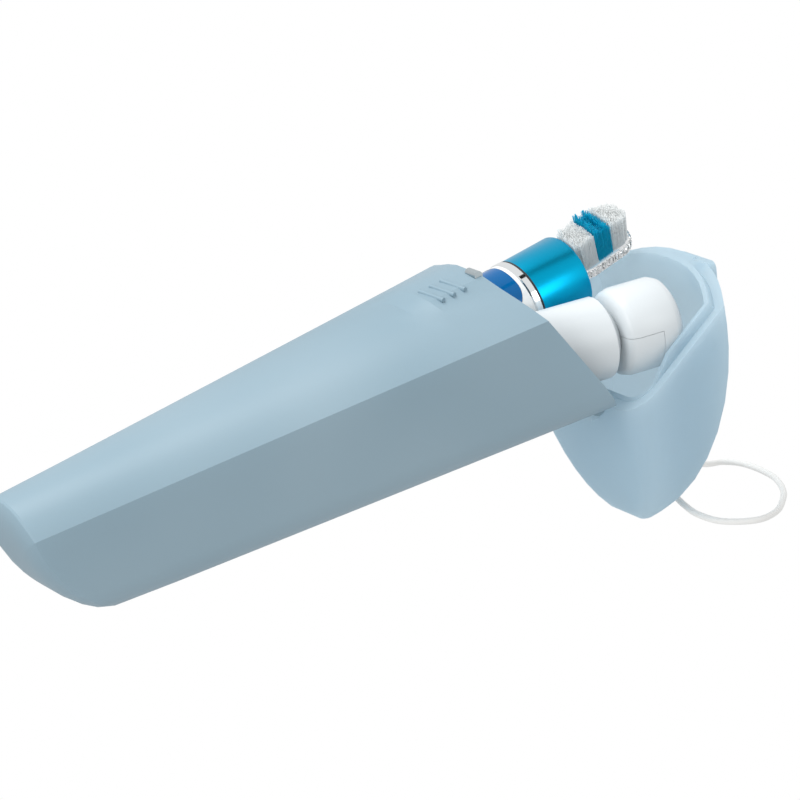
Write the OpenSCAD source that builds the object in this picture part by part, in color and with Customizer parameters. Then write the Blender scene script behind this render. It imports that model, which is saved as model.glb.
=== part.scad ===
/* [Case body] */
// Length of the bottom from the far end to the hinge edge of the mouth
body_l = 161; // [150:1:175]
// Width at the far end
far_w = 29; // [28:1:34]
// Width at the mouth
mouth_w = 62; // [60:1:68]
// Height at the far end
far_h = 36.8; // [35:0.2:40]
// Height at the mouth
mouth_h = 43.5; // [42:0.5:48]
// Lean of the mouth, top set back, in degrees
mouth_lean = 27; // [22:1:31]
// Wall of the body and the lid
wall = 2; // [1.6:0.1:2.4]
// Radius of the long bottom corners
corner_r = 9; // [6:1:11]
// Height of the side crease as a share of the section height
crease_share = 0.77; // [0.7:0.01:0.84]
// Height of the thumb pad above the top near the mouth
pad_h = 2; // [1:0.2:3]
// Sideways place of the latch, pad and ribs
latch_y = -5; // [-8:1:0]
// Number of grip ribs on the thumb pad
rib_n = 4; // [3:1:5]
// Radius of a grip rib
rib_r = 0.6; // [0.4:0.1:0.9]

/* [Lid] */
// Reach of the nose ahead of the hinge edge
nose_l = 40.8; // [38:0.2:44]
// Height of the nose tip above the bottom line
nose_z = 5.2; // [4:0.2:8]
// Height of the collar that enters the mouth
collar_h = 2.6; // [1.5:0.1:3.2]
// Thickness of the collar
collar_t = 1.2; // [1:0.1:1.5]
// Gap between collar and mouth
collar_gap = 0.6; // [0.5:0.1:0.8]
// Gap between the closed rims
seam = 0.3; // [0.2:0.05:0.5]
// Opening angle of the lid as it lies in the photograph
lid_open = 86; // [80:1:90]

/* [Hinge and latch] */
// Diameter of the hinge pin
pin_d = 2; // [1.5:0.1:2.4]
// Radial gap round the pin in the turning knuckles
pin_gap = 0.05; // [0.03:0.01:0.1]
// Outer diameter of the knuckles
knuckle_d = 4.4; // [4:0.1:5]
// Width of one knuckle
knuckle_w = 5.6; // [4:0.2:7]
// Gap between knuckles
knuckle_gap = 0.3; // [0.2:0.05:0.5]
// Diameter of the catch stud
stud_d = 2.4; // [2:0.1:3]
// Length of the catch stud
stud_l = 5; // [4:0.5:7]

/* [Stance] */
// Tilt of the case, mouth up, as it rests on its far end and its nose
case_tilt = 15.5; // [14:0.5:17]
// Depth of the flat under the far end
foot_cut = 1.2; // [0.8:0.1:1.6]

/* [Toothbrush] */
// Sleeve diameter
sleeve_d = 22.6; // [21:0.2:23]
// Sleeve length
sleeve_l = 16.5; // [14:0.5:20]
// Sleeve wall
sleeve_wall = 1.2; // [1:0.1:1.5]
// Bright ring width
ring_w = 2.5; // [2:0.1:3.5]
// How far the bright ring stands proud of the sleeve
ring_proud = 0.2; // [0.1:0.1:0.4]
// Handle length behind the ring
handle_l = 99; // [97:1:102]
// Handle diameter at its belly
belly_d = 23.6; // [23:0.2:24]
// Handle diameter at its tail
tail_d = 20.4; // [20:0.2:21]
// Handle wall
handle_wall = 1.5; // [1.3:0.1:1.7]
// End cap length
end_cap_l = 7; // [6:0.5:9]
// Button diameter
button_d = 8; // [7:0.5:9]
// Button travel
button_travel = 0.6; // [0.4:0.1:0.7]
// Battery diameter
battery_d = 14.5; // [14:0.1:14.8]
// Battery length
battery_l = 50.5; // [49:0.1:51]
// Motor diameter
motor_d = 12; // [10:0.5:13]
// Motor length
motor_l = 20; // [16:0.5:22]
// Head post diameter
post_d = 2.6; // [2:0.1:3]
// Head plate length
head_l = 21.2; // [20:0.2:24]
// Head plate width
head_w = 11.6; // [10:0.2:13]
// Head plate thickness
head_t = 3; // [2.6:0.1:3.4]
// Longest bristle
bristle_h = 11; // [9:0.5:12]

/* [Toothpaste tube] */
// Cap diameter
cap_d = 24; // [22:0.2:24.4]
// Cap length
cap_l = 17; // [15:0.5:18]
// Length of the flip lid at its outer end
flip_l = 7; // [5:0.5:9]
// Tube body length
tube_l = 80; // [70:1:85]

/* [Wrist loop] */
// Cord diameter
cord_d = 1.8; // [1.6:0.1:2.2]

/* [Hidden] */
$fn = 48;
// gap between pieces of one assembly that touch in use
fit = 0.05;
lean = tan(mouth_lean);
// end face: reach at the top and how far the bottom is tucked in
end_reach = 4;
end_tuck = 17;
end_power = 2.8;
edge_r_low = 5;
edge_r_top = 2;
// hinge axis, in the frame of the case
hinge_x = body_l + seam / 2;
hinge_z = -knuckle_d / 2 - 0.2;
knuckle_n = 5;
// heights that put the far end and the nose on the floor
foot_x = end_tuck + 1;
floor_z = foot_x * sin(case_tilt) + foot_cut;
foot_mid = floor_z / sin(case_tilt) - 8.17;
steps_corner = 5;
steps_side = 3;
steps_crown = 8;

// how far the long bottom edges are set in from the crease
side_draft = 0.8;
// one half of the section, bottom centre to top centre
function half_section(w, h, r) =
    let (zc = crease_share * h, lw = w - side_draft)
    concat(
        [[0, 0], [(lw - r) / 2, 0]],
        [for (i = [0:steps_corner]) let (a = 90 * i / steps_corner) [lw - r + r * sin(a), r - r * cos(a)]],
        [for (i = [1:steps_side]) let (t = i / steps_side) [lw + (w - lw) * t, r + (zc - r) * t]],
        [for (i = [1:steps_crown])
            let (y = w * cos(90 * i / steps_crown)) [y, zc + (h - zc) * (1 - pow(y / w, 2.4))]]
    );
half_n = len(half_section(20, 30, 5));
ring_n = 2 * (half_n - 1);
// the whole loop, counted from the bottom centre round the far side, set in from the outside by d
function section(w, h, d) =
    let (p = half_section(w - d, h - 2 * d, max(corner_r - d, 2)))
    concat(
        [for (i = [0:half_n - 1]) [p[i][0], p[i][1] + d]],
        [for (i = [half_n - 2:-1:1]) [-p[i][0], p[i][1] + d]]
    );
function mix(a, b, t) = a + (b - a) * t;
function body_section(s, d) = section(mix(far_w, mouth_w, s) / 2, mix(far_h, mouth_h, s), d);
function end_x(z) = -end_reach + end_tuck * pow(max(1 - z / (far_h + 1), 0), end_power);
function edge_r(z) = mix(edge_r_low, edge_r_top, z / far_h);
function mouth_x(z) = body_l - z * lean;
// low, wide swelling of the top where the thumb pushes
function smooth(t) = let (c = min(max(t, 0), 1)) c * c * (3 - 2 * c);
pad_x = 117;
pad_half = 13;
function pad(x, y) = pad_h * smooth((x - pad_x) / 5) * smooth((pad_half - abs(y - latch_y)) / 4);
// keep a point of the resting case on or above the floor
function on_floor(p) =
    let (zw = p[0] * sin(case_tilt) + p[2] * cos(case_tilt) - floor_z)
    zw >= 0 ? p : [p[0] - zw * sin(case_tilt), p[1], p[2] - zw * cos(case_tilt)];
function cap_ring(f, d) =
    let (mid = far_h / 2, g = max((f - 0.55) / 0.45, 0))
    [for (q = body_section(0, d))
        let (z = mid + (q[1] - mid) * f, x = end_x(z) + d + edge_r(z) * (1 - sqrt(max(1 - g * g, 0))))
        on_floor([x, q[0] * f, z])];
function body_ring(s, d) =
    [for (q = body_section(s, d))
        let (x0 = end_x(q[1]) + d + edge_r(q[1]), x = mix(x0, mouth_x(q[1]), s),
             up = d == 0 && q[1] > crease_share * mix(far_h, mouth_h, s) + 1 ? pad(x, q[0]) : 0)
        on_floor([x - s * up * lean, q[0], q[1] + up])];
// side faces between rings, and fans at both poles
function skin_faces(rings) =
    let (last = rings * ring_n)
    concat(
        [for (k = [0:ring_n - 1]) [0, 1 + (k + 1) % ring_n, 1 + k]],
        [for (j = [0:rings - 2], k = [0:ring_n - 1])
            [1 + j * ring_n + k, 1 + j * ring_n + (k + 1) % ring_n, 1 + (j + 1) * ring_n + (k + 1) % ring_n]],
        [for (j = [0:rings - 2], k = [0:ring_n - 1])
            [1 + j * ring_n + k, 1 + (j + 1) * ring_n + (k + 1) % ring_n, 1 + (j + 1) * ring_n + k]],
        [for (k = [0:ring_n - 1])
            [last + 1, last - ring_n + 1 + k, last - ring_n + 1 + (k + 1) % ring_n]]
    );
module skin(first, rings, final, mirrored = false) {
    pts = concat([first], [for (r = rings) each r], [final]);
    faces = skin_faces(len(rings));
    polyhedron(points = pts, faces = mirrored ? [for (f = faces) [f[0], f[2], f[1]]] : faces, convexity = 6);
}
cap_steps = [0.3, 0.6, 0.8, 0.92, 0.98, 1];
body_steps = [0.12, 0.3, 0.5, 0.7, 0.8, 0.84, 0.88, 1];
inner_steps = [1, 0.7, 0.35, 0.1];
inner_cap_steps = [1, 0.9, 0.7, 0.35];

// the case lies tilted on the floor with its foot at the origin
module in_case() {
    translate([-foot_mid * cos(case_tilt), 0, -floor_z])
        rotate([0, -case_tilt, 0])
            children();
}
// places given in the closed lid, carried to the open lid
module in_lid() {
    in_case()
        translate([hinge_x, 0, hinge_z])
            rotate([0, lid_open, 0])
                translate([-hinge_x, 0, -hinge_z])
                    children();
}

// knuckles of one side, with the web that joins them to the bottom wall
knuckle_step = knuckle_w + knuckle_gap;
web_l = 5;
module knuckle_row(first, toward) {
    for (i = [first:2:knuckle_n - 1]) {
        y = (i - (knuckle_n - 1) / 2) * knuckle_step;
        translate([hinge_x, y, hinge_z])
            rotate([90, 0, 0])
                cylinder(d = knuckle_d, h = knuckle_w, center = true);
        translate([hinge_x + toward * (web_l / 2 + 0.5), y, hinge_z / 2 + 0.3])
            cube([web_l, knuckle_w, -hinge_z + 0.6], center = true);
    }
}
module pin_bore(gap) {
    translate([hinge_x, 0, hinge_z])
        rotate([90, 0, 0])
            cylinder(d = pin_d + 2 * gap, h = knuckle_n * knuckle_step + 2, center = true);
}
// the stud and the ribs sit on the pad at the mouth
stud_y = latch_y - 4;
stud_at = [mouth_x(mouth_h) - 1.4, stud_y, mouth_h + pad_h - 0.6];
module stud_bar(d, l) {
    translate(stud_at)
        rotate([90, 0, 0])
            cylinder(d = d, h = l, center = true);
}
rib_x = 124;
rib_pitch = 3.4;
rib_l = 9;
rib_sink = 0.75;
rib_tilt = 9;
function top_z(x) = mix(far_h, mouth_h, x / mouth_x(mouth_h));
module grip_ribs() {
    for (x = [rib_x:rib_pitch:rib_x + (rib_n - 1) * rib_pitch])
        translate([x, stud_y, top_z(x) + pad_h - rib_sink])
            rotate([90 + rib_tilt, 0, 12])
                cylinder(r = rib_r, h = rib_l, center = true);
}

module case_body() {
    color("#a4bac6")
        in_case()
            difference() {
                union() {
                    skin(
                        on_floor([end_x(far_h / 2), 0, far_h / 2]),
                        concat(
                            [for (f = cap_steps) cap_ring(f, 0)],
                            [for (s = body_steps) body_ring(s, 0)],
                            [for (s = inner_steps) body_ring(s, wall)],
                            [for (f = inner_cap_steps) cap_ring(f, wall)]
                        ),
                        [end_x(far_h / 2) + wall, 0, far_h / 2],
                        mirrored = true
                    );
                    knuckle_row(0, -1);
                    grip_ribs();
                    cradle_ribs();
                }
                pin_bore(0);
                stud_bar(stud_d + 2 * fit, stud_l + 2 * fit);
            }
}
// two ribs across the inside floor, hollowed where the handle and the tube lie in them
cradle_x = [100, 148];
cradle_t = 3;
cradle_top = 15;
cradle_gap = 0.15;
module cradle_ribs() {
    cradle(cradle_x[0], crimp_h / 2);
    cradle(cradle_x[1], cap_d / 2);
}
module cradle(x, tube_r) {
    difference() {
        translate([x - cradle_t / 2, -cradle_half(x), wall / 2])
            cube([cradle_t, 2 * cradle_half(x), cradle_top]);
        brush_frame()
            cradle_bar(max(belly_d, sleeve_d + 2 * ring_proud) / 2 + cradle_gap);
        tube_frame()
            cradle_bar(tube_r + cradle_gap);
    }
}
function cradle_half(x) = mix(far_w, mouth_w, x / body_l) / 2 - side_draft - corner_r;
module cradle_bar(r) {
    translate([-body_l, 0, 0])
        rotate([0, 90, 0])
            cylinder(r = r, h = 2 * body_l);
}

nose_x = body_l + nose_l;
lid_steps = [0.99, 0.96, 0.9, 0.82, 0.72, 0.6, 0.46, 0.32, 0.2, 0.1, 0.04, 0];
lid_inner_steps = [0.16, 0.3, 0.46, 0.62, 0.76, 0.88, 0.96];
// curve of the lid lengthwise, low at the nose and flatter on the roof
nose_curve = 2;
roof_curve = 1.36;
// a point of the closed lid: v runs from the mouth, 0, to the nose, 1
function lid_point(q, v, d, back) =
    let (
        x0 = mouth_x(q[1]) + seam / cos(mouth_lean),
        tip = nose_x - d,
        e = mix(nose_curve, roof_curve, min(q[1] / mouth_h, 1)),
        fy = pow(1 - pow(v, 2.2), 1 / 2.2),
        fz = pow(1 - pow(v, e), 1 / e)
    )
    [mix(x0, tip, v) - back * cos(mouth_lean), q[0] * fy, nose_z + (q[1] - nose_z) * fz - back * sin(mouth_lean)];
// turn the lid about the hinge to its open place
function opened(p) =
    let (dx = p[0] - hinge_x, dz = p[2] - hinge_z)
    [hinge_x + dx * cos(lid_open) + dz * sin(lid_open), p[1], hinge_z - dx * sin(lid_open) + dz * cos(lid_open)];
function lid_ring(v, d) = [for (q = body_section(1, d)) on_floor(opened(lid_point(q, v, d, 0)))];
// the collar fades out towards the hinge
function collar_rise(z) = 0.2 + collar_h * smooth((z - 9) / 8);
function collar_ring(d) = [for (q = body_section(1, d)) opened(lid_point(q, 0, d, collar_rise(q[1])))];
collar_in = wall + collar_gap;

module loop_holes(d) {
    for (at = loop_exits)
        translate(at)
            rotate([0, 90, 0])
                cylinder(d = d, h = 12, center = true);
}

module lid() {
    color("#acc3d0") {
        difference() {
            union() {
                in_case()
                    skin(
                        on_floor(opened([nose_x, 0, nose_z])),
                        concat(
                            [for (v = lid_steps) lid_ring(v, 0)],
                            [lid_ring(0, collar_in), collar_ring(collar_in), collar_ring(collar_in + collar_t)],
                            [lid_ring(0.06, collar_in + collar_t)],
                            [for (v = lid_inner_steps) lid_ring(v, wall)]
                        ),
                        opened([nose_x - wall, 0, nose_z])
                    );
                in_lid() {
                    knuckle_row(1, 1);
                    latch_ear();
                }
            }
            in_lid() {
                pin_bore(pin_gap);
                ear_notch();
            }
            loop_holes(cord_d + 0.6);
        }
    }
}
// ear at the top of the rim that springs over the catch stud
ear_l = 6.5;
ear_w = 17;
ear_t = 1.8;
module latch_ear() {
    translate([mouth_x(mouth_h) + seam + 0.6, latch_y, mouth_h - 0.5])
        rotate([0, 12, 0])
            linear_extrude(ear_t)
                offset(r = 2)
                    translate([2, -ear_w / 2 + 2])
                        square([ear_l - 4, ear_w - 4]);
}
module ear_notch() {
    translate([mouth_x(mouth_h) + seam - 1, stud_y, mouth_h + 0.6])
        cube([4, stud_l + 1, 4], center = true);
}

module hinge_pin() {
    color("#b9c0c4")
        in_case()
            translate([hinge_x, 0, hinge_z])
                rotate([90, 0, 0])
                    cylinder(d = pin_d, h = knuckle_n * knuckle_step - knuckle_gap, center = true);
}

module catch_stud() {
    color("#a7b4b9")
        in_case()
            stud_bar(stud_d, stud_l);
}

// wrist loop: exits on the front of the open lid, one above the other, then a loose round on the floor
loop_exits = [[170, 1, 11], [166.5, -1, 5.4]];
LOOP = [
    [168, 1, 11], [170, 1, 11], [172.5, 1, 11], [176, 2, 10.9], [180, 4, 10.4], [186, 8, 9], [192, 13, 7], [198, 18.5, 4.6],
    [203, 23.5, 2.6], [207.5, 27.5, 1.2], [212, 28.5, 0.9], [215.5, 25, 0.9], [216.5, 18, 0.9], [215, 7, 0.9],
    [209.5, -5, 0.9], [203, -14, 0.9], [195.5, -22, 0.9], [187.5, -26.5, 0.9], [181, -26, 0.9], [176, -22, 0.9],
    [174, -15, 1.4], [173.5, -10, 2.6], [173, -5.5, 4.2], [171, -1.6, 5.4], [169, -1, 5.4], [166.5, -1, 5.4], [164.1, -1, 5.4]
];
loop_sides = 8;
function unit(v) = v / max(norm(v), 0.0001);
// smooth curve through the points, three steps between each pair
loop_fine = 3;
function bend(p0, p1, p2, p3, t) =
    0.5 * (2 * p1 + (p2 - p0) * t + (2 * p0 - 5 * p1 + 4 * p2 - p3) * t * t + (3 * p1 - p0 - 3 * p2 + p3) * t * t * t);
loop_path = concat(
    [for (i = [0:len(LOOP) - 2], j = [0:loop_fine - 1])
        bend(LOOP[max(i - 1, 0)], LOOP[i], LOOP[i + 1], LOOP[min(i + 2, len(LOOP) - 1)], j / loop_fine)],
    [LOOP[len(LOOP) - 1]]
);
function along(p, i) = unit(p[min(i + 1, len(p) - 1)] - p[max(i - 1, 0)]);
module cord_tube(p, d, sides) {
    n = len(p);
    pts = [for (i = [0:n - 1])
        let (t = along(p, i), u = unit(cross(t, [0, 0, 1])), w = cross(u, t))
        for (k = [0:sides - 1])
            let (a = 360 * k / sides + 180 / sides) p[i] + d / 2 * (u * cos(a) + w * sin(a))];
    faces = concat(
        [[for (k = [sides - 1:-1:0]) k]],
        [for (i = [0:n - 2], k = [0:sides - 1])
            [i * sides + k, (i + 1) * sides + (k + 1) % sides, (i + 1) * sides + k]],
        [for (i = [0:n - 2], k = [0:sides - 1])
            [i * sides + k, i * sides + (k + 1) % sides, (i + 1) * sides + (k + 1) % sides]],
        [[for (k = [0:sides - 1]) (n - 1) * sides + k]]
    );
    polyhedron(points = pts, faces = faces, convexity = 6);
}
module wrist_loop() {
    color("#e4e4e2")
        cord_tube(loop_path, cord_d, loop_sides);
}
knot_d = 3.4;
knot_l = 2.2;
module loop_knots() {
    color("#dcdcda")
        for (at = [LOOP[0], LOOP[len(LOOP) - 1]])
            translate(at)
                rotate([0, -90, 0])
                    cylinder(d = knot_d, h = knot_l);
}

// the toothbrush lies along the far side wall, its sleeve out of the mouth
brush_at = [176.6, 14, 24.6];
brush_yaw = 4;
brush_pitch = 3.2;
brush_roll = 20;
module brush_frame() {
    translate(brush_at)
        rotate([0, -brush_pitch, brush_yaw])
            rotate([brush_roll, 0, 0])
                children();
}
module in_brush() {
    in_case()
        brush_frame()
            children();
}
// turned piece about the brush axis; the outline gives radius and place along the axis
module turned(outline) {
    rotate([0, 90, 0])
        rotate_extrude()
            polygon(outline);
}
ring_back = -sleeve_l - ring_w;
handle_back = ring_back - handle_l;
handle_steps = 10;
function handle_r(t) =
    let (front = sleeve_d / 2 - 0.1, belly = belly_d / 2, tail = tail_d / 2)
    t < 0.45 ? mix(front, belly, sin(90 * t / 0.45)) : mix(belly, tail, 1 - cos(90 * (t - 0.45) / 0.55));
function handle_at(t) = ring_back - handle_l * t;
front_wall = 1.6;
panel_half = 58;
panel_l = 62;
panel_t = 0.8;
panel_front = ring_back - 1.2;
// stadium-shaped tool that cuts the panel out of a turned shell
module panel_shape(grow) {
    r = sleeve_d / 2 * sin(panel_half) + grow;
    corner = 5;
    translate([panel_front + grow, 0, 0])
        linear_extrude(belly_d)
            translate([-panel_l - 2 * grow, -r])
                hull() {
                    for (x = [corner, panel_l + 2 * grow - corner], y = [corner, 2 * r - corner])
                        translate([x, y])
                            circle(r = corner, $fn = 32);
                }
}
module handle_solid(inset) {
    turned(concat(
        [[0, handle_back], [0, ring_back]],
        [for (i = [0:handle_steps]) let (t = i / handle_steps) [handle_r(t) - inset, handle_at(t)]]
    ));
}
button_x = ring_back - 34;
button_gap = 0.1;
module handle_housing() {
    color("#eef0f0")
        in_brush()
            difference() {
                handle_solid(0);
                turned(concat(
                    [
                        [0, handle_back - 1], [0, ring_back - front_wall],
                        [handle_r(0) - handle_wall, ring_back - front_wall]
                    ],
                    [for (i = [1:handle_steps])
                        let (t = i / handle_steps, thick = handle_wall + (t < 0.75 ? panel_t : 0))
                        [handle_r(t) - thick, handle_at(t)]],
                    [[handle_r(1) - handle_wall, handle_back - 1]]
                ));
                difference() {
                    panel_shape(fit);
                    handle_solid(panel_t + fit);
                }
                translate([button_x, 0, 0])
                    cylinder(d = seal_d + 2 * fit, h = belly_d);
                translate([ring_back - front_wall - 1, 0, 0])
                    rotate([0, 90, 0])
                        cylinder(d = post_d + 2 * fit, h = front_wall + 2);
            }
}
module front_panel() {
    color("#0a4f9c")
        in_brush()
            difference() {
                intersection() {
                    handle_solid(0.05);
                    panel_shape(0);
                }
                handle_solid(panel_t);
                translate([button_x, 0, 0])
                    cylinder(d = seal_d + 4 * fit, h = belly_d);
            }
}
button_top = belly_d / 2 + 0.7;
switch_top = 9.1;
module power_button() {
    color("#0b63b0")
        in_brush()
            translate([button_x, 0, 0]) {
                difference() {
                    translate([0, 0, switch_top + button_travel + 0.2])
                        cylinder(d = button_d, h = button_top - switch_top - button_travel - 0.2);
                    translate([0, 0, button_top + 14.4])
                        sphere(r = 14.8);
                }
            }
}
seal_d = button_d + 1.8;
seal_t = 1.2;
seal_z = 10;
module button_seal() {
    color("#2b2f33")
        in_brush()
            translate([button_x, 0, seal_z])
                difference() {
                    cylinder(d = seal_d, h = seal_t);
                    translate([0, 0, -1])
                        cylinder(d = button_d + 2 * button_gap, h = seal_t + 2);
                }
}
board_t = 0.8;
board_z = 7.5;
board_l = 22;
board_w = 8.2;
module control_board() {
    color("#2e6b46")
        in_brush()
            translate([button_x - board_l / 2, -board_w / 2, board_z])
                cube([board_l, board_w, board_t]);
}
module tact_switch() {
    color("#c9ccce")
        in_brush()
            translate([button_x, 0, board_z + board_t]) {
                translate([-2.5, -2.5, 0])
                    cube([5, 5, 0.5]);
                cylinder(d = 2.4, h = switch_top - board_z - board_t);
            }
}
chassis_in = battery_d / 2 + 0.15;
chassis_out = chassis_in + 1.2;
chassis_front = ring_back - front_wall - fit;
weight_l = 5;
module chassis() {
    color("#d9dcdc")
        in_brush()
            difference() {
                translate([handle_back + 6, 0, 0])
                    rotate([0, 90, 0])
                        cylinder(r = chassis_out, h = chassis_front - handle_back - 6);
                translate([handle_back + 5, 0, 0])
                    rotate([0, 90, 0])
                        cylinder(r = chassis_in, h = chassis_front - handle_back - 4);
                translate([handle_back, -chassis_out - 1, -1])
                    cube([handle_l, 2 * chassis_out + 2, chassis_out + 3]);
            }
}
motor_front = chassis_front - weight_l - 3;
// saddle of the motor, as wide as the chassis is at its underside
saddle_z = chassis_in / 2;
saddle_half = sqrt(chassis_in * chassis_in - saddle_z * saddle_z) - fit;
module motor_can() {
    color("#bfc4c8")
        in_brush()
            difference() {
                union() {
                    translate([motor_front - motor_l, 0, 0])
                        rotate([0, 90, 0])
                            cylinder(d = motor_d, h = motor_l);
                    translate([motor_front - motor_l + 2, -saddle_half, -saddle_z])
                        cube([motor_l - 4, 2 * saddle_half, saddle_z - 0.6]);
                }
                translate([motor_front - 8, 0, 0])
                    rotate([0, 90, 0])
                        cylinder(d = 2.1, h = 10);
            }
}
module eccentric_weight() {
    color("#8e8474")
        in_brush() {
            translate([motor_front - 6, 0, 0])
                rotate([0, 90, 0])
                    cylinder(d = 2, h = weight_l + 7.4);
            translate([motor_front + 1, 0, 0])
                rotate([0, 90, 0])
                    difference() {
                        cylinder(d = 10, h = weight_l);
                        translate([-6, 0, -1])
                            cube([12, 6, weight_l + 2]);
                    }
        }
}
battery_front = motor_front - motor_l - 3;
module battery() {
    color("#3b7a4e")
        in_brush() {
            translate([battery_front - battery_l, 0, 0])
                rotate([0, 90, 0])
                    cylinder(d = battery_d, h = battery_l - 1.2);
            translate([battery_front - 1.2, 0, 0])
                rotate([0, 90, 0])
                    cylinder(d = 5.4, h = 1.2);
        }
}
module front_contact() {
    color("#c8a95a")
        in_brush()
            translate([battery_front + fit, -5, -5])
                cube([0.4, 10, 10]);
}
spring_turns = 4;
spring_wire = 0.7;
spring_front = battery_front - battery_l - fit;
spring_back = handle_back - 0.4;
spring_path = [for (i = [0:spring_turns * 12])
    let (t = i / (spring_turns * 12), a = 360 * spring_turns * t)
    let (r = mix(5.2, 3.6, t))
    [mix(spring_back + spring_wire, spring_front - spring_wire, t), r * cos(a), r * sin(a)]];
module battery_spring() {
    color("#c9ced2")
        in_brush()
            cord_tube(spring_path, spring_wire, 6);
}
plug_l = 4;
module end_cap() {
    color("#e9ebeb")
        in_brush()
            difference() {
                union() {
                    turned([
                        [0, handle_back - end_cap_l], [5, handle_back - end_cap_l],
                        [tail_d / 2 - 1.8, handle_back - end_cap_l + 1],
                        [tail_d / 2 - 0.4, handle_back - end_cap_l + 3],
                        [tail_d / 2, handle_back - 0.3], [0, handle_back - 0.3]
                    ]);
                    turned([
                        [0, handle_back - 1], [handle_r(1) - handle_wall - 0.1, handle_back - 1],
                        [handle_r(1) - handle_wall - 0.1, handle_back + plug_l], [0, handle_back + plug_l]
                    ]);
                }
                turned([
                    [0, handle_back - 0.4], [6.4, handle_back - 0.4],
                    [6.4, handle_back + plug_l + 1], [0, handle_back + plug_l + 1]
                ]);
                turned([
                    [handle_r(1) - handle_wall - 0.9, handle_back + 1], [tail_d, handle_back + 1],
                    [tail_d, handle_back + 2.4], [handle_r(1) - handle_wall - 0.9, handle_back + 2.4]
                ]);
            }
}
module end_cap_oring() {
    color("#26292c")
        in_brush()
            turned([
                [handle_r(1) - handle_wall - 0.85, handle_back + 1.1],
                [handle_r(1) - handle_wall - 0.05, handle_back + 1.1],
                [handle_r(1) - handle_wall - 0.05, handle_back + 2.3],
                [handle_r(1) - handle_wall - 0.85, handle_back + 2.3]
            ]);
}
module bright_ring() {
    color("#d5d9db")
        in_brush()
            turned([
                [7, ring_back], [sleeve_d / 2 + ring_proud - 0.4, ring_back], [sleeve_d / 2 + ring_proud, ring_back + 0.4],
                [sleeve_d / 2 + ring_proud, -sleeve_l - 0.4], [sleeve_d / 2 + ring_proud - 0.4, -sleeve_l], [7, -sleeve_l]
            ]);
}
sleeve_in = sleeve_d / 2 - sleeve_wall;
collar_l = 5;
module sleeve() {
    color("#0097c4")
        in_brush()
            turned([
                [sleeve_in, -sleeve_l], [sleeve_d / 2, -sleeve_l], [sleeve_d / 2, -0.8], [sleeve_d / 2 - 0.25, -0.25],
                [sleeve_d / 2 - 0.8, 0], [sleeve_in - 0.6, 0], [sleeve_in - 0.6, -0.6], [sleeve_in, -0.6]
            ]);
}
module nose_collar() {
    color("#dfe5e8")
        in_brush()
            turned([
                [3.4, -collar_l - 1], [sleeve_in - fit, -collar_l - 1], [sleeve_in - fit, -0.6 - fit],
                [6.5, -0.6 - fit], [4.5, -1.6], [3.4, -1.6]
            ]);
}
module shaft_seal() {
    color("#2b2f33")
        in_brush()
            turned([
                [post_d / 2 + fit, -collar_l - 1], [3.4 - fit, -collar_l - 1], [3.4 - fit, -collar_l + 1.4],
                [post_d / 2 + fit, -collar_l + 1.4]
            ]);
}
module head_post() {
    color("#c3c8cb")
        in_brush()
            union() {
                translate([ring_back - front_wall, 0, 0])
                    rotate([0, 90, 0])
                        cylinder(d = post_d, h = -ring_back + front_wall - 0.6);
                translate([ring_back, 0, 0])
                    rotate([0, 90, 0])
                        cylinder(d = 6, h = 1.4);
            }
}
// the head is pitched up a little from the post
head_pitch = 8;
head_at = [0.6, 0, -1.4];
module in_head() {
    in_brush()
        translate(head_at)
            rotate([0, -head_pitch, 0])
                children();
}
module head_outline() {
    hull() {
        translate([head_w / 2 - 1, 0])
            circle(d = head_w - 2, $fn = 32);
        translate([head_l - head_w / 2, 0])
            circle(d = head_w, $fn = 32);
    }
}
module brush_head() {
    color("#c9cdce") {
        in_head()
            linear_extrude(head_t)
                head_outline();
        in_brush()
            difference() {
                translate([-2.9, 0, 0])
                    rotate([0, 90, 0])
                        cylinder(d1 = 6, d2 = 5, h = 4.4);
                translate([-3, 0, 0])
                    rotate([0, 90, 0])
                        cylinder(d = post_d + 2 * fit, h = 2.5);
            }
    }
}
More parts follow.
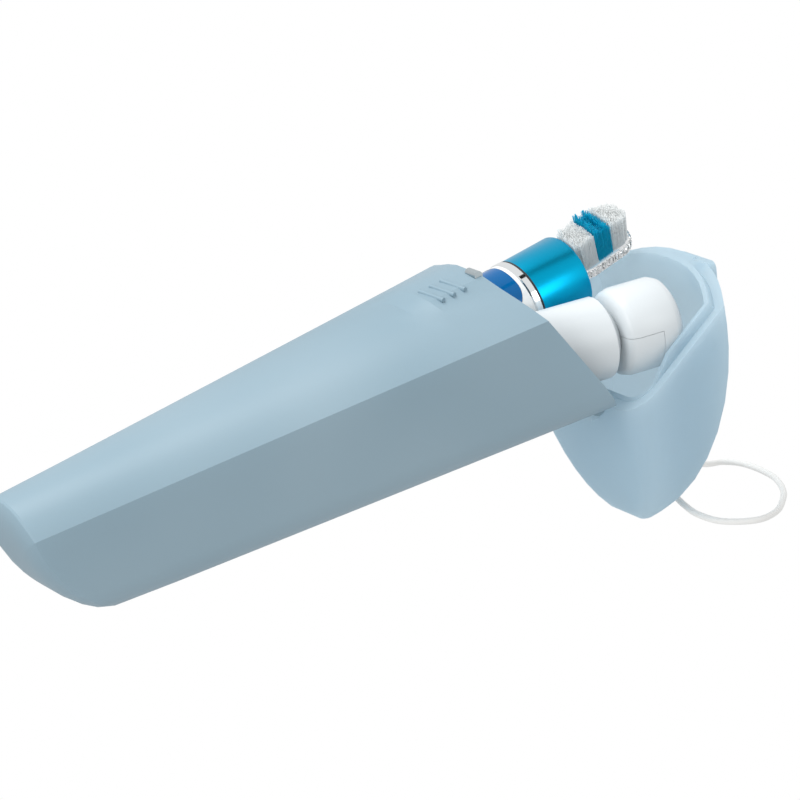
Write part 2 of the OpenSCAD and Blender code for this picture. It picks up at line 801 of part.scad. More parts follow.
// a field of three-sided strands grown from one thin slab; every grid cell carries one strand
slab_t = 0.5;
strand_r = 0.2;
strand_spread = 0.03;
function cell(i, j, nx, ny) = i * (ny + 1) + j;
module strand_field(x0, x1, nx, ny, w0, w1, h0, h1, step) {
    grid = (nx + 1) * (ny + 1);
    function gx(i) = mix(x0, x1, i / nx);
    function gw(i) = mix(w0, w1, i / nx);
    function gy(i, j) = gw(i) * (j / ny - 0.5);
    top = [for (i = [0:nx], j = [0:ny]) [gx(i), gy(i, j), slab_t]];
    low = [for (i = [0:nx], j = [0:ny]) [gx(i), gy(i, j), 0]];
    strands = [for (i = [0:nx - 1], j = [0:ny - 1])
        let (
            cx = (gx(i) + gx(i + 1)) / 2, cy = (gy(i, j) + gy(i + 1, j + 1)) / 2,
            h = mix(h0, h1, (i + 0.5) / nx) - step * ((i + j) % 3) - 0.35 * ((3 * i + 5 * j) % 4) / 3
        )
        for (lift = [0, 1], k = [0:2])
            let (a = 120 * k + 30)
            [cx + strand_r * cos(a) + lift * h * strand_spread * (cx - (x0 + x1) / 2) / (x1 - x0),
             cy + strand_r * sin(a) + lift * h * strand_spread * cy / w0,
             lift == 0 ? slab_t : h]];
    base = 2 * grid;
    cells = [for (i = [0:nx - 1], j = [0:ny - 1])
        let (
            a = cell(i, j, nx, ny), b = cell(i + 1, j, nx, ny),
            c = cell(i + 1, j + 1, nx, ny), d = cell(i, j + 1, nx, ny),
            s = base + 6 * (i * ny + j)
        )
        each [
            [b, a, s + 2], [b, s + 2, s], [c, b, s], [c, s, s + 1], [d, c, s + 1], [a, d, s + 1], [a, s + 1, s + 2],
            [s, s + 2, s + 5], [s, s + 5, s + 3], [s + 1, s, s + 3], [s + 1, s + 3, s + 4],
            [s + 2, s + 1, s + 4], [s + 2, s + 4, s + 5], [s + 3, s + 5, s + 4]
        ]];
    under = [for (i = [0:nx - 1], j = [0:ny - 1])
        let (
            a = grid + cell(i, j, nx, ny), b = grid + cell(i + 1, j, nx, ny),
            c = grid + cell(i + 1, j + 1, nx, ny), d = grid + cell(i, j + 1, nx, ny)
        )
        each [[a, b, c], [a, c, d]]];
    rim = concat(
        [for (i = [0:nx - 1]) each [
            [cell(i, 0, nx, ny), cell(i + 1, 0, nx, ny), grid + cell(i + 1, 0, nx, ny)],
            [cell(i, 0, nx, ny), grid + cell(i + 1, 0, nx, ny), grid + cell(i, 0, nx, ny)],
            [cell(i + 1, ny, nx, ny), cell(i, ny, nx, ny), grid + cell(i, ny, nx, ny)],
            [cell(i + 1, ny, nx, ny), grid + cell(i, ny, nx, ny), grid + cell(i + 1, ny, nx, ny)]
        ]],
        [for (j = [0:ny - 1]) each [
            [cell(0, j + 1, nx, ny), cell(0, j, nx, ny), grid + cell(0, j, nx, ny)],
            [cell(0, j + 1, nx, ny), grid + cell(0, j, nx, ny), grid + cell(0, j + 1, nx, ny)],
            [cell(nx, j, nx, ny), cell(nx, j + 1, nx, ny), grid + cell(nx, j + 1, nx, ny)],
            [cell(nx, j, nx, ny), grid + cell(nx, j + 1, nx, ny), grid + cell(nx, j, nx, ny)]
        ]]
    );
    polyhedron(points = concat(top, low, strands), faces = concat(cells, under, rim), convexity = 10);
}
field_back = 1.8;
blue_back = 8;
blue_front = 13;
field_front = head_l - 1.2;
module bristles_white() {
    color("#e2e4e5")
        in_head()
            translate([0, 0, head_t]) {
                strand_field(field_back, blue_back, 8, 14, 7.4, 9.6, bristle_h - 1, bristle_h, 0);
                strand_field(blue_front, field_front, 9, 14, 9.6, 7, bristle_h - 0.5, bristle_h - 3.4, 0);
            }
}
module bristles_blue() {
    color("#1090bb")
        in_head()
            translate([0, 0, head_t])
                strand_field(blue_back, blue_front, 6, 14, 9.6, 9.6, bristle_h + 0.6, bristle_h - 0.2, 0.5);
}

// the tube lies beside the brush with its cap drooping over the mouth
tube_at = [187, -14.75, 13.6];
tube_yaw = 3.8;
tube_droop = 6;
module tube_frame() {
    translate(tube_at)
        rotate([0, tube_droop, -tube_yaw])
            children();
}
module in_tube() {
    in_case()
        tube_frame()
            children();
}
lobe_z = 1;
module cap_lid_side() {
    union() {
        translate([-flip_l, -cap_d, -cap_d])
            cube([2 * flip_l, 2 * cap_d, 2 * cap_d]);
        translate([-cap_l - 1, -cap_d, lobe_z])
            cube([cap_l, 2 * cap_d, cap_d]);
    }
}
module cap_solid(inset) {
    turned([
        [0, -cap_l + inset], [cap_d / 2 - cap_corner - inset, -cap_l + inset], [cap_d / 2 - 0.6 - inset, -cap_l + 1 + inset],
        [cap_d / 2 - inset, -cap_l + 3 + inset], [cap_d / 2 - inset, -3 - inset], [cap_d / 2 - 0.8 - inset, -1.2 - inset],
        [cap_d / 2 - 2.6 - inset, -inset], [0, -inset]
    ]);
}
cap_wall = 1.6;
cap_corner = 2;
spout_d = 9;
module tube_flip_lid() {
    color("#dfe3e6")
        in_tube()
            difference() {
                intersection() {
                    cap_solid(0);
                    cap_lid_side();
                }
                cap_solid(cap_wall);
            }
}
module tube_cap_base() {
    color("#d5dade")
        in_tube() {
            difference() {
                cap_solid(0);
                cap_solid(cap_wall);
                lid_side_room();
            }
            difference() {
                union() {
                    spout_part(spout_d, cap_l - 2 * cap_wall - 0.6);
                    spout_part(cap_d - 2 * (cap_corner + cap_wall + fit), plate_t);
                }
                translate([-cap_l, 0, 0])
                    rotate([0, 90, 0])
                        cylinder(d = spout_bore, h = cap_l);
                translate([-cap_l, -cap_d, lobe_z - part_line])
                    cube([cap_wall + fit, 2 * cap_d, cap_d]);
            }
        }
}
spout_bore = 4;
plate_t = 1.2;
module spout_part(d, l) {
    translate([-cap_l + cap_wall / 2, 0, 0])
        rotate([0, 90, 0])
            cylinder(d = d, h = cap_wall / 2 + l);
}
part_line = 0.12;
module lid_side_room() {
    union() {
        translate([-flip_l - part_line, -cap_d, -cap_d])
            cube([2 * flip_l, 2 * cap_d, 2 * cap_d]);
        translate([-cap_l - 1, -cap_d, lobe_z - part_line])
            cube([cap_l + 2, 2 * cap_d, cap_d]);
    }
}
// tube: round at the shoulder, pressed flat and upright at the crimp
tube_ring_n = 28;
tube_steps = 9;
crimp_h = 25.4;
crimp_t = 1;
crimp_l = 6;
function tube_ring(t, x, d) =
    let (r = cap_d / 2 - 0.8, b = mix(r, crimp_t / 2, pow(t, 1.3)) - d, c = mix(r, crimp_h / 2, t) - d)
    [for (k = [0:tube_ring_n - 1]) let (a = 360 * k / tube_ring_n) [x, b * cos(a), c * sin(a)]];
module tube_body() {
    rings = concat(
        [tube_ring(0, -cap_l - 0.1, cap_d / 2 - 7), tube_ring(0, -cap_l - 3.5, 0)],
        [for (i = [1:tube_steps])
            let (t = i / tube_steps) tube_ring(t, -cap_l - 3.5 - (tube_l - crimp_l - 3.5) * t, 0)],
        [tube_ring(1, -cap_l - tube_l, 0)]
    );
    n = len(rings);
    pts = [for (r = rings) each r];
    faces = concat(
        [[for (k = [tube_ring_n - 1:-1:0]) k]],
        [for (i = [0:n - 2], k = [0:tube_ring_n - 1])
            [i * tube_ring_n + k, (i + 1) * tube_ring_n + (k + 1) % tube_ring_n, (i + 1) * tube_ring_n + k]],
        [for (i = [0:n - 2], k = [0:tube_ring_n - 1])
            let (next = (k + 1) % tube_ring_n)
            [i * tube_ring_n + k, i * tube_ring_n + next, (i + 1) * tube_ring_n + next]],
        [[for (k = [0:tube_ring_n - 1]) (n - 1) * tube_ring_n + k]]
    );
    color("#eceeef")
        in_tube()
            polyhedron(points = pts, faces = faces, convexity = 4);
}

case_body();
lid();
hinge_pin();
catch_stud();
wrist_loop();
loop_knots();
handle_housing();
front_panel();
power_button();
button_seal();
tact_switch();
control_board();
chassis();
motor_can();
eccentric_weight();
battery();
front_contact();
battery_spring();
end_cap();
end_cap_oring();
bright_ring();
sleeve();
nose_collar();
shaft_seal();
head_post();
brush_head();
bristles_white();
bristles_blue();
tube_body();
tube_cap_base();
tube_flip_lid();
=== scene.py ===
import math
import random

import bpy
from mathutils import Matrix, Vector


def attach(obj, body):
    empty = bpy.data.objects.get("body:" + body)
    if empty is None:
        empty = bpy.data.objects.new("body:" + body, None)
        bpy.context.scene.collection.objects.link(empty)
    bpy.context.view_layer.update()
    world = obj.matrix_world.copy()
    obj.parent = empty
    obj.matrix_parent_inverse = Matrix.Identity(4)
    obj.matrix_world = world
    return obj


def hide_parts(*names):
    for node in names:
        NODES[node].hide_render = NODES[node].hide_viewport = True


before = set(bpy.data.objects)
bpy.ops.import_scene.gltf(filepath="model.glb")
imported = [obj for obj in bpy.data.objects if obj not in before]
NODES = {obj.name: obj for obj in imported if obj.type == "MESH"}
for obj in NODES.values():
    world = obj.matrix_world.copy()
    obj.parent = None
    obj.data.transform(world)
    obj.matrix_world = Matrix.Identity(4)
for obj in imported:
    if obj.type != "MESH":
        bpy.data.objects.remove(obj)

# the start-up file's own cube, lamp and camera, which would stand in the picture
for start_name in ("Cube", "Light", "Camera"):
    if start_name in bpy.data.objects:
        bpy.data.objects.remove(bpy.data.objects[start_name])
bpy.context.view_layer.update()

MM = 0.001


# --- camera -------------------------------------------------------------------
# fitted to the outline of the case in the photograph, in mm and degrees
TARGET = Vector((80, 0, 30)) * MM
TURN, RAISE = math.radians(29.7), math.radians(14.6)
DISTANCE = 1.1245
LENS = 193.5
SHIFT = (0.0405, 0.0534)
FAR_CLIP = 10

right = Vector((math.cos(TURN), -math.sin(TURN), 0))
up = Vector((math.sin(TURN) * math.sin(RAISE), math.cos(TURN) * math.sin(RAISE), math.cos(RAISE)))
back = right.cross(up)

scene = bpy.context.scene
camera = bpy.data.objects.new("camera", bpy.data.cameras.new("camera"))
scene.collection.objects.link(camera)
scene.camera = camera
camera.data.lens = LENS
camera.data.shift_x, camera.data.shift_y = SHIFT
camera.data.clip_end = FAR_CLIP
camera.matrix_world = (Matrix.Translation(TARGET + back * DISTANCE)
                       @ Matrix((right, up, back)).transposed().to_4x4())

scene.view_settings.view_transform = "Standard"


# --- material helpers ---------------------------------------------------------
def linear(code):
    """sRGB hex to a linear colour."""
    parts = [int(code[i:i + 2], 16) / 255 for i in (1, 3, 5)]
    return tuple(c / 12.92 if c <= 0.04045 else ((c + 0.055) / 1.055) ** 2.4 for c in parts) + (1.0,)


def node(tree, kind, **values):
    """Adds a node; attributes by name, input sockets by name with spaces as underscores."""
    made = tree.nodes.new(kind)
    for key, value in values.items():
        if hasattr(made, key):
            setattr(made, key, value)
        else:
            made.inputs[key.replace("_", " ")].default_value = value
    return made


def surface(name, colour, **values):
    """A material with one shader, whose constant values sit on its own sockets."""
    made = bpy.data.materials.new(name)
    made.use_nodes = True
    tree = made.node_tree
    shader = tree.nodes["Principled BSDF"]
    shader.inputs["Base Color"].default_value = linear(colour)
    for key, value in values.items():
        shader.inputs[key.replace("_", " ")].default_value = value
    return made


def grain(made, size_mm, height_mm, stretch=(1, 1, 1)):
    """Fine surface relief; size and height are in real millimetres."""
    tree = made.node_tree
    shader = tree.nodes["Principled BSDF"]
    place = node(tree, "ShaderNodeTexCoord")
    scale = node(tree, "ShaderNodeMapping", Scale=stretch)
    noise = node(tree, "ShaderNodeTexNoise", Scale=1 / (size_mm * MM), Detail=2.0)
    bump = node(tree, "ShaderNodeBump", Strength=1.0, Distance=height_mm * MM)
    tree.links.new(place.outputs["Object"], scale.inputs["Vector"])
    tree.links.new(scale.outputs["Vector"], noise.inputs["Vector"])
    tree.links.new(noise.outputs["Fac"], bump.inputs["Height"])
    tree.links.new(bump.outputs["Normal"], shader.inputs["Normal"])
    return made


def vary(made, low, high, size_mm):
    """Slow change of colour over the surface, as in a moulding of uneven wall."""
    tree = made.node_tree
    shader = tree.nodes["Principled BSDF"]
    place = node(tree, "ShaderNodeTexCoord")
    noise = node(tree, "ShaderNodeTexNoise", Scale=1 / (size_mm * MM), Detail=1.0)
    ramp = node(tree, "ShaderNodeValToRGB")
    ramp.color_ramp.elements[0].position = 0.35
    ramp.color_ramp.elements[1].position = 0.65
    ramp.color_ramp.elements[0].color = linear(low)
    ramp.color_ramp.elements[1].color = linear(high)
    tree.links.new(place.outputs["Object"], noise.inputs["Vector"])
    tree.links.new(noise.outputs["Fac"], ramp.inputs["Fac"])
    tree.links.new(ramp.outputs["Color"], shader.inputs["Base Color"])
    return made


def glow_through(made, colour, share):
    """Light from behind comes through the wall, softened."""
    tree = made.node_tree
    shader = tree.nodes["Principled BSDF"]
    through = node(tree, "ShaderNodeBsdfTranslucent", Color=linear(colour))
    mix = node(tree, "ShaderNodeMixShader", Fac=share)
    tree.links.new(shader.outputs[0], mix.inputs[1])
    tree.links.new(through.outputs[0], mix.inputs[2])
    tree.links.new(mix.outputs[0], tree.nodes["Material Output"].inputs["Surface"])
    return made


# --- materials ----------------------------------------------------------------
# frosted polypropylene, injection moulded against an etched mould: a wide soft sheen, slow cloudy
# changes of tone, and a little light through the 2 mm wall; the etching, 0.05 mm in life, is drawn
# at 0.35 mm so that it shows
case_plastic = glow_through(
    grain(vary(surface("frosted_polypropylene_case", "#96aebb", Roughness=0.42, Specular_IOR_Level=0.35),
               "#91aab7", "#9bb2be", 60), 0.35, 0.012), "#bcd2de", 0.25)
# the same plastic with less dye in the lid: more light comes through, so its inside is pale too
lid_plastic = glow_through(
    grain(vary(surface("frosted_polypropylene_lid", "#bdd1dc", Roughness=0.40, Specular_IOR_Level=0.35),
               "#b9cedb", "#c2d5df", 40), 0.35, 0.012), "#e9f4f9", 0.66)
# aluminium, turned and anodised blue: fine turning marks run round it and smear each reflection
anodised = grain(surface("anodised_turned_aluminium", "#08a6d0", Metallic=1.0, Roughness=0.3), 0.25, 0.004,
                 stretch=(1, 0.05, 0.05))
# ABS, plated bright: a near mirror, white with hard dark streaks
bright = surface("bright_plated_abs", "#eef1f2", Metallic=1.0, Roughness=0.08)
# steel, drawn or stamped: a dull metal shine
steel = grain(surface("drawn_steel", "#b4bec2", Metallic=1.0, Roughness=0.28), 0.1, 0.002)
# ABS, moulded in a polished mould: white with sharp highlights
white_gloss = surface("polished_mould_white_abs", "#e9ecec", Roughness=0.18)
# ABS inlay, moulded in a polished mould: deep blue with a smooth gloss
deep_blue = surface("polished_mould_deep_blue_abs", "#005c98", Roughness=0.12, Specular_IOR_Level=0.25)
# soft elastomer, moulded: a satin face that takes no sharp highlight
button_blue = grain(surface("moulded_blue_elastomer", "#0b63b0", Roughness=0.38), 0.2, 0.006)
# silicone, moulded: matt black
rubber = grain(surface("moulded_black_silicone", "#26292c", Roughness=0.6), 0.15, 0.004)
# clear SAN, moulded: glassy, and its ribs break up what lies behind
clear = surface("moulded_clear_san", "#f2f5f6", Roughness=0.03, IOR=1.49, Transmission_Weight=1.0)
# nylon filament, extruded: each strand lets light along and through, so the tufts look milky
nylon_white = glow_through(surface("extruded_white_nylon", "#f4f6f6", Roughness=0.35), "#fbfcfc", 0.6)
nylon_blue = glow_through(surface("extruded_blue_nylon", "#10c0dc", Roughness=0.35), "#48dcf0", 0.6)
# polyethylene laminate, rolled and welded: white, smooth, with shallow hand dents 6 mm apart
tube_white = grain(surface("rolled_polyethylene_laminate", "#d2d8db", Roughness=0.3), 6, 0.03)
# polypropylene, moulded: white with a satin face
cap_white = grain(surface("moulded_white_polypropylene", "#d0d6d9", Roughness=0.36), 0.3, 0.006)
nose_plastic = surface("moulded_white_acetal", "#dfe5e8", Roughness=0.35)
# parts that the housing hides
board = surface("solder_masked_glass_epoxy", "#2e6b46", Roughness=0.4)
heavy_metal = surface("sintered_heavy_metal", "#8e8474", Metallic=1.0, Roughness=0.4)
wrap = surface("shrunk_pvc_battery_wrap", "#3b7a4e", Roughness=0.25)
# polyester cord, braided: matt with a fuzzy edge; the braid's 0.45 mm picks are drawn as relief
cord_white = grain(surface("braided_polyester_cord", "#e7e7e5", Roughness=0.7, Sheen_Weight=0.3), 0.45, 0.02)

FINISH = {
    "case_body": case_plastic, "lid": lid_plastic, "hinge_pin": steel, "catch_stud": steel,
    "wrist_loop": cord_white, "loop_knots": cord_white,
    "handle_housing": white_gloss, "front_panel": deep_blue, "power_button": button_blue,
    "button_seal": rubber, "tact_switch": steel, "control_board": board, "chassis": nose_plastic,
    "motor_can": steel, "eccentric_weight": heavy_metal, "battery": wrap, "front_contact": steel,
    "battery_spring": steel, "end_cap": white_gloss, "end_cap_oring": rubber, "bright_ring": bright,
    "sleeve": anodised, "nose_collar": nose_plastic, "shaft_seal": rubber, "head_post": steel,
    "brush_head": clear, "bristles_white": nylon_white, "bristles_blue": nylon_blue,
    "tube_body": tube_white, "tube_cap_base": cap_white, "tube_flip_lid": cap_white,
}


SHELL_EDGE, SMALL_EDGE = 22, 40
WELD_GAP = 0.02 * MM


def smooth(piece, angle):
    """Shades the facets of a curved solid as one surface; edges over the angle stay sharp."""
    weld = piece.modifiers.new("weld", "WELD")
    weld.merge_threshold = WELD_GAP
    for face in piece.data.polygons:
        face.use_smooth = True
    group = piece.modifiers.new("edges", "NODES")
    group.node_group = SMOOTH_GROUP[angle]


def smooth_group(angle):
    """Node group that keeps edges over an angle sharp."""
    made = bpy.data.node_groups.new("sharp_over_%d" % angle, "GeometryNodeTree")
    made.interface.new_socket("Geometry", in_out="INPUT", socket_type="NodeSocketGeometry")
    made.interface.new_socket("Geometry", in_out="OUTPUT", socket_type="NodeSocketGeometry")
    enter, leave = node(made, "NodeGroupInput"), node(made, "NodeGroupOutput")
    edge = node(made, "GeometryNodeInputMeshEdgeAngle")
    less = node(made, "FunctionNodeCompare", operation="LESS_EQUAL")
    less.inputs[1].default_value = math.radians(angle)
    edges = node(made, "GeometryNodeSetShadeSmooth", domain="EDGE")
    made.links.new(enter.outputs[0], edges.inputs["Geometry"])
    made.links.new(edge.outputs["Unsigned Angle"], less.inputs[0])
    made.links.new(less.outputs[0], edges.inputs["Shade Smooth"])
    made.links.new(edges.outputs[0], leave.inputs[0])
    return made


SMOOTH_GROUP = {angle: smooth_group(angle) for angle in (SHELL_EDGE, SMALL_EDGE)}

for name, piece in NODES.items():
    piece.data.materials.clear()
    piece.data.materials.append(FINISH[name])
    if not name.startswith("bristles"):
        smooth(piece, SHELL_EDGE if name in ("case_body", "lid") else SMALL_EDGE)


# --- wrist loop ---------------------------------------------------------------
# the points of the CAD loop, in mm in the shared frame
LOOP = [
    (168, 1, 11), (170, 1, 11), (172.5, 1, 11), (176, 2, 10.9), (180, 4, 10.4), (186, 8, 9), (192, 13, 7),
    (198, 18.5, 4.6), (203, 23.5, 2.6), (207.5, 27.5, 1.2), (212, 28.5, 0.9), (215.5, 25, 0.9),
    (216.5, 18, 0.9), (215, 7, 0.9), (209.5, -5, 0.9), (203, -14, 0.9), (195.5, -22, 0.9),
    (187.5, -26.5, 0.9), (181, -26, 0.9),
    (176, -22, 0.9), (174, -15, 1.4), (173.5, -10, 2.6), (173, -5.5, 4.2), (171, -1.6, 5.4), (169, -1, 5.4),
    (166.5, -1, 5.4), (164.1, -1, 5.4)
]
LOOP_D = 1.8 * MM
LOOP_STEPS = 6


def catmull(points, steps):
    """The smooth curve of the CAD loop through its points."""
    out = []
    for i in range(len(points) - 1):
        p0, p1 = points[max(i - 1, 0)], points[i]
        p2, p3 = points[i + 1], points[min(i + 2, len(points) - 1)]
        for j in range(steps):
            t = j / steps
            out.append(0.5 * (2 * p1 + (p2 - p0) * t + (2 * p0 - 5 * p1 + 4 * p2 - p3) * t * t
                              + (3 * p1 - p0 - 3 * p2 + p3) * t ** 3))
    return out + [points[-1]]


line = catmull([Vector(p) * MM for p in LOOP], LOOP_STEPS)
curve = bpy.data.curves.new("wrist_cord", "CURVE")
curve.dimensions = "3D"
curve.bevel_depth = LOOP_D / 2
curve.bevel_resolution = 4
curve.use_fill_caps = True
spline = curve.splines.new("POLY")
spline.points.add(len(line) - 1)
for point, at in zip(spline.points, line):
    point.co = (*at, 1)
wrist_cord = bpy.data.objects.new("wrist_cord", curve)
scene.collection.objects.link(wrist_cord)
curve.materials.append(cord_white)
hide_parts("wrist_loop")
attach(wrist_cord, "lid")


# --- brush head ---------------------------------------------------------------
def turn(axis, degrees):
    """Turn about one axis, in degrees."""
    return Matrix.Rotation(math.radians(degrees), 4, axis)


# where the case, the brush and its head lie in the frame, from the same sizes as the solids, in mm
CASE_TILT, FOOT_CUT, FOOT_X, FOOT_BACK = 15.5, 1.2, 18, 8.17
BRUSH_AT, BRUSH_YAW, BRUSH_PITCH, BRUSH_ROLL = (176.6, 14, 24.6), 4, 3.2, 20
HEAD_AT, HEAD_PITCH = (0.6, 0, -1.4), 8
FLOOR_Z = FOOT_X * math.sin(math.radians(CASE_TILT)) + FOOT_CUT
FOOT_MID = FLOOR_Z / math.sin(math.radians(CASE_TILT)) - FOOT_BACK
in_case = (Matrix.Translation((-FOOT_MID * math.cos(math.radians(CASE_TILT)), 0, -FLOOR_Z))
           @ turn("Y", -CASE_TILT))
in_brush = (in_case @ Matrix.Translation(BRUSH_AT) @ turn("Z", BRUSH_YAW) @ turn("Y", -BRUSH_PITCH)
            @ turn("X", BRUSH_ROLL))
in_head = in_brush @ Matrix.Translation(HEAD_AT) @ turn("Y", -HEAD_PITCH)

HEAD_L, HEAD_W, HEAD_T = 21.2, 11.6, 3.0
RIBS, RIB_DEPTH = 36, 0.7
OUTLINE_STEPS = 960
# each level of the plate: height, how far its edge is drawn in, and its ribs
PLATE = ((0, 0.6, 0), (0.2, 0.15, 0), (0.45, 0, RIBS), (2.6, 0, RIBS), (2.85, 0.15, 0), (HEAD_T, 0.6, 0))
# the neck behind the plate: place along the brush and radius
NECK, NECK_SIDES = ((-2.9, 2.95), (0.0, 2.7), (1.5, 2.45)), 32


def add_piece(name, points, faces, place, made, slot, *stands_for):
    """A mesh in mm, placed in the frame, that rides on the toothbrush."""
    mesh = bpy.data.meshes.new(name)
    mesh.from_pydata([(place @ Vector(p)) * MM for p in points], [], faces)
    mesh.materials.append(made)
    mesh.validate()
    piece = bpy.data.objects.new(name, mesh)
    scene.collection.objects.link(piece)
    if stands_for:
        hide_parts(*stands_for)
    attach(piece, "toothbrush")
    return piece


def stadium(inset, ribs):
    """Outline of the head plate, walked at an even pace; ribs waves run round its edge."""
    r = HEAD_W / 2
    straight = HEAD_L - 2 * r
    round_l = 2 * straight + 2 * math.pi * r
    out = []
    for k in range(OUTLINE_STEPS):
        s = round_l * k / OUTLINE_STEPS
        wave = RIB_DEPTH * (0.5 - 0.5 * math.cos(2 * math.pi * ribs * k / OUTLINE_STEPS)) ** 2
        reach = r - inset - wave
        if s < straight:
            out.append((r + s, -reach))
        elif s < straight + math.pi * r:
            a = (s - straight) / r - math.pi / 2
            out.append((r + straight + reach * math.cos(a), reach * math.sin(a)))
        elif s < 2 * straight + math.pi * r:
            out.append((r + straight - (s - straight - math.pi * r), reach))
        else:
            a = (s - 2 * straight - math.pi * r) / r + math.pi / 2
            out.append((r + reach * math.cos(a), reach * math.sin(a)))
    return out


def circle(x, r, count):
    """A ring of points round the X axis."""
    return [(x, r * math.cos(2 * math.pi * k / count), r * math.sin(2 * math.pi * k / count))
            for k in range(count)]


def shell_of(rings):
    """Points and faces of a solid stacked from rings of equal count."""
    n = len(rings[0])
    points = [p for ring in rings for p in ring]
    faces = [(i * n + k, i * n + (k + 1) % n, (i + 1) * n + (k + 1) % n, (i + 1) * n + k)
             for i in range(len(rings) - 1) for k in range(n)]
    faces.append(tuple(range(n))[::-1])
    faces.append(tuple((len(rings) - 1) * n + k for k in range(n)))
    return points, faces


points, faces = shell_of([[(x, y, z) for x, y in stadium(inset, ribs)] for z, inset, ribs in PLATE])
brush_to_head = in_head.inverted() @ in_brush
neck_points, neck_faces = shell_of([[brush_to_head @ Vector(p) for p in circle(x, r, NECK_SIDES)]
                                    for x, r in NECK])
faces += [tuple(i + len(points) for i in face) for face in neck_faces]
points += [tuple(p) for p in neck_points]
add_piece("clear_head", points, faces, in_head, clear, "head_clear", "brush_head")

# the dark joint line between the bright ring and the sleeve
SLEEVE_L, SLEEVE_R = 16.5, 11.3
# place along the brush, from the sleeve's back edge, and radius past the sleeve
JOINT_LINE, JOINT_SIDES = ((-0.02, -0.3), (-0.02, 0.09), (0.32, 0.09), (0.36, -0.3)), 96
joint_points, joint_faces = shell_of([circle(x - SLEEVE_L, SLEEVE_R + r, JOINT_SIDES) for x, r in JOINT_LINE])
joint_line = add_piece("sleeve_joint_line", joint_points, joint_faces[:-2], in_brush, rubber, "seal_rubber")
for face in joint_line.data.polygons:
    face.use_smooth = True


# the bristle field in mm: spacing of the strands, size of a tuft, and half the field's width
PITCH, TUFT = 0.34, 1.35
FIELD_HALF, FIELD_HALF_END, WIDE_FROM, WIDE_TO = 4.75, 4.0, 3, 17.5
TIP_X, TIP_R = 15.2, 5.0
FOOT_R, TOP_R = 0.14, 0.10
# how much lower each of four kinds of tuft is cut, and how uneven the strands are
CUT_STEP, UNEVEN, STRAY, WANDER = 0.22, 0.35, 0.12, 0.05
# the fan: lean per mm from the middle, for a strand 10 mm long
LEAN_ALONG, LEAN_ACROSS, LEAN_MIDDLE, LEAN_L = 0.09, 0.03, 10, 10


def bristles(name, x0, x1, height, colour, slot, node_name):
    """A dense field of tapered nylon strands on the plate."""
    rng = random.Random(7)
    points, faces = [], []
    for i in range(int((x1 - x0) / PITCH)):
        x = x0 + PITCH * (i + 0.5)
        half = FIELD_HALF if WIDE_FROM < x < WIDE_TO else FIELD_HALF_END
        for j in range(int(2 * half / PITCH)):
            y = -half + PITCH * (j + 0.5)
            if math.hypot(max(x - TIP_X, 0), y) > TIP_R:
                continue
            kind = (int(x / TUFT) * 7 + int((y + 10) / TUFT) * 3) % 4
            h = height(x) - CUT_STEP * kind - rng.uniform(0, UNEVEN)
            lean = ((x - LEAN_MIDDLE) * LEAN_ALONG * h / LEAN_L + rng.uniform(-STRAY, STRAY),
                    y * LEAN_ACROSS * h / LEAN_L + rng.uniform(-STRAY, STRAY))
            px, py = x + rng.uniform(-WANDER, WANDER), y + rng.uniform(-WANDER, WANDER)
            base = len(points)
            for z, r, share in ((HEAD_T, FOOT_R, 0), (HEAD_T + h, TOP_R, 1)):
                points += [(px + dx + lean[0] * share, py + dy + lean[1] * share, z)
                           for dx, dy in ((r, 0), (0, r), (-r, 0), (0, -r))]
            for k in range(4):
                m = (k + 1) % 4
                faces.append((base + k, base + m, base + 4 + m, base + 4 + k))
            faces.append((base + 4, base + 5, base + 6, base + 7))
    add_piece(name, points, faces, in_head, colour, slot, node_name)


# field edges along the head, and the height of the cut over each field
BACK_X, BLUE_X0, BLUE_X1, FRONT_X = 1.9, 8.0, 13.0, 19.9


def back_cut(x):
    """Rises gently towards the blue tufts."""
    return 10.2 + (x - 1.8) * 0.1


def front_cut(x):
    """Falls towards the tip."""
    return 10.6 - (x - BLUE_X1) * 0.28


def blue_cut(x):
    """Two raised rows with a notch between them."""
    return 11.5 if x < 9.4 or 10.6 < x < 11.8 else 10.4


bristles("white_strands_back", BACK_X, BLUE_X0, back_cut, nylon_white, "bristle_white", "bristles_white")
bristles("white_strands_front", BLUE_X1, FRONT_X, front_cut, nylon_white, "bristle_white", "bristles_white")
bristles("blue_strands", BLUE_X0, BLUE_X1, blue_cut, nylon_blue, "bristle_blue", "bristles_blue")


# --- light --------------------------------------------------------------------
SKY_LIGHT = 0.85
world = bpy.data.worlds.new("white")
scene.world = world
world.use_nodes = True
sky = world.node_tree
ground = sky.nodes["Background"]
ground.inputs["Color"].default_value = (1, 1, 1, 1)
ground.inputs["Strength"].default_value = SKY_LIGHT
seen = node(sky, "ShaderNodeBackground", Color=(1, 1, 1, 1), Strength=1.0)
ray = node(sky, "ShaderNodeLightPath")
mix = node(sky, "ShaderNodeMixShader")
sky.links.new(ray.outputs["Is Camera Ray"], mix.inputs[0])
sky.links.new(ground.outputs[0], mix.inputs[1])
sky.links.new(seen.outputs[0], mix.inputs[2])
sky.links.new(mix.outputs[0], sky.nodes["World Output"].inputs["Surface"])


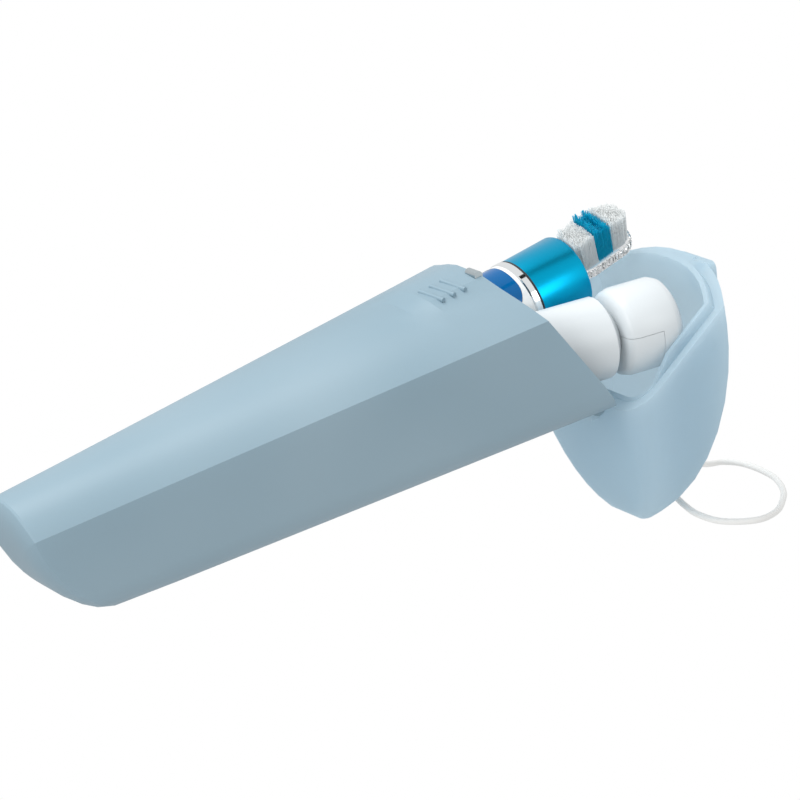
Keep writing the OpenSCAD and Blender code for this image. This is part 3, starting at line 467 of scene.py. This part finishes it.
def lamp(name, at, toward, size, power):
    """A soft square lamp that looks at a point."""
    data = bpy.data.lights.new(name, "AREA")
    data.size = size
    data.energy = power
    made = bpy.data.objects.new(name, data)
    scene.collection.objects.link(made)
    made.visible_camera = False
    made.location = at
    made.rotation_euler = (Vector(toward) - Vector(at)).to_track_quat("-Z", "Y").to_euler()
    return made


def mirror_way(degrees):
    """The way that the camera's ray leaves the sleeve, where its face looks up by this angle."""
    lean = math.radians(degrees)
    normal = facing * math.cos(lean) + above * math.sin(lean)
    return 2 * normal.dot(back) * normal - back


sleeve_axis = (in_brush.to_3x3() @ Vector((1, 0, 0))).normalized()
facing = (back - sleeve_axis * back.dot(sleeve_axis)).normalized()
above = sleeve_axis.cross(facing)
above = above if above.z > 0 else -above
sleeve_mid = (in_brush @ Vector((-8, 0, 0))) * MM

# a dark card that only gloss shows: the long streak high on the turned sleeve
CARD_W, CARD_H, CARD_AWAY, STREAK = 0.5, 0.06, 0.7, 26
card_mesh = bpy.data.meshes.new("dark_card")
card_corners = [(-CARD_W, -CARD_H, 0), (CARD_W, -CARD_H, 0), (CARD_W, CARD_H, 0), (-CARD_W, CARD_H, 0)]
card_mesh.from_pydata(card_corners, [], [(0, 1, 2, 3)])
card_mesh.materials.append(surface("matt_black_card", "#101214", Roughness=1.0))
card = bpy.data.objects.new("dark_card", card_mesh)
scene.collection.objects.link(card)
bounce = mirror_way(STREAK)
side = (sleeve_axis - bounce * sleeve_axis.dot(bounce)).normalized()
card.matrix_world = (Matrix.Translation(sleeve_mid + bounce * CARD_AWAY)
                     @ Matrix((side, bounce.cross(side), bounce)).transposed().to_4x4())
card.visible_camera = False
card.visible_diffuse = False
card.visible_shadow = False
card.visible_transmission = False

LIT_POINT = (0.08, 0, 0.03)
LAMP_SIZE = 0.5
lamp("key", (-0.2, 0.15, 0.8), LIT_POINT, LAMP_SIZE, 5.0)
lamp("fill", (-0.75, -0.45, 0.35), LIT_POINT, LAMP_SIZE, 3.2)
# a lamp that only gloss shows: the bright band low on the sleeve
BAND, BAND_AWAY, BAND_POWER = -8, 0.9, 1.6
band = lamp("band", sleeve_mid + mirror_way(BAND) * BAND_AWAY, sleeve_mid, LAMP_SIZE, BAND_POWER)
band.visible_diffuse = False
band.visible_transmission = False
